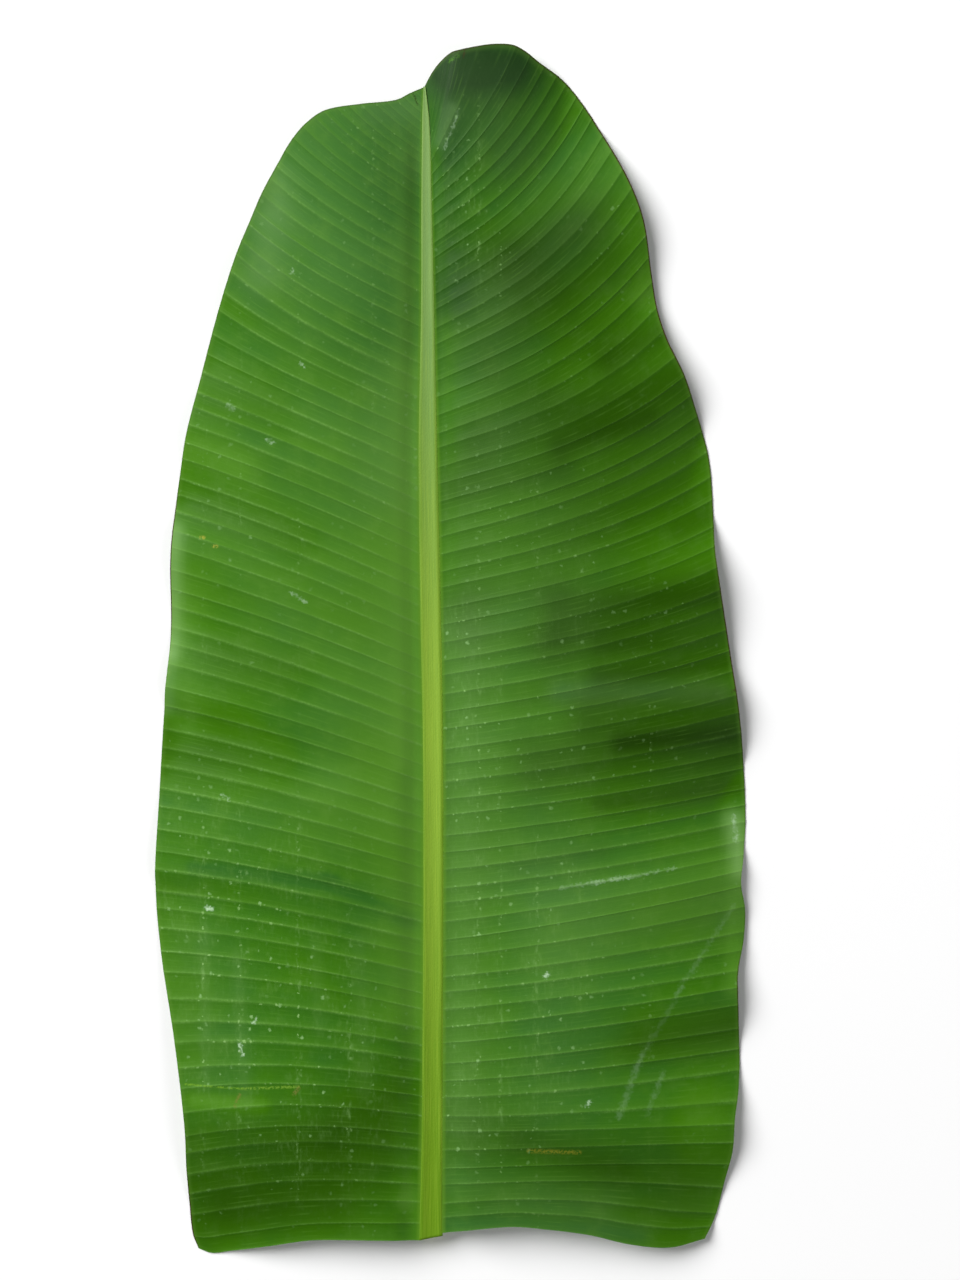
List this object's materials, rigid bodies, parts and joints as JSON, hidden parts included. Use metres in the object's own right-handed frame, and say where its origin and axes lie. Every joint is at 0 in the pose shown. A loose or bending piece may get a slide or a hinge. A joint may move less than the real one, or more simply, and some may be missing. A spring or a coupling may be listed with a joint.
{
  "type": "banana leaf",
  "caption": "Upper part of a banana leaf, cut across and lying flat: pleated, gently waved green blade on either side of a pale midrib that is keeled below.",
  "frame": {"origin": "under the middle of the leaf's length and width, on the surface that the leaf lies on", "axes": "+Y along the leaf from the cut end to the tip, +Z out of the upper face, +X to the right of the midrib seen from above"},
  "size_m": [0.4016, 0.8196, 0.0301],
  "materials": {
    "leaf_blade": "satin",
    "leaf_midrib": "satin"
  },
  "bodies": {
    "root": {"blade": "leaf_blade", "midrib": "leaf_midrib"}
  },
  "joints": []
}
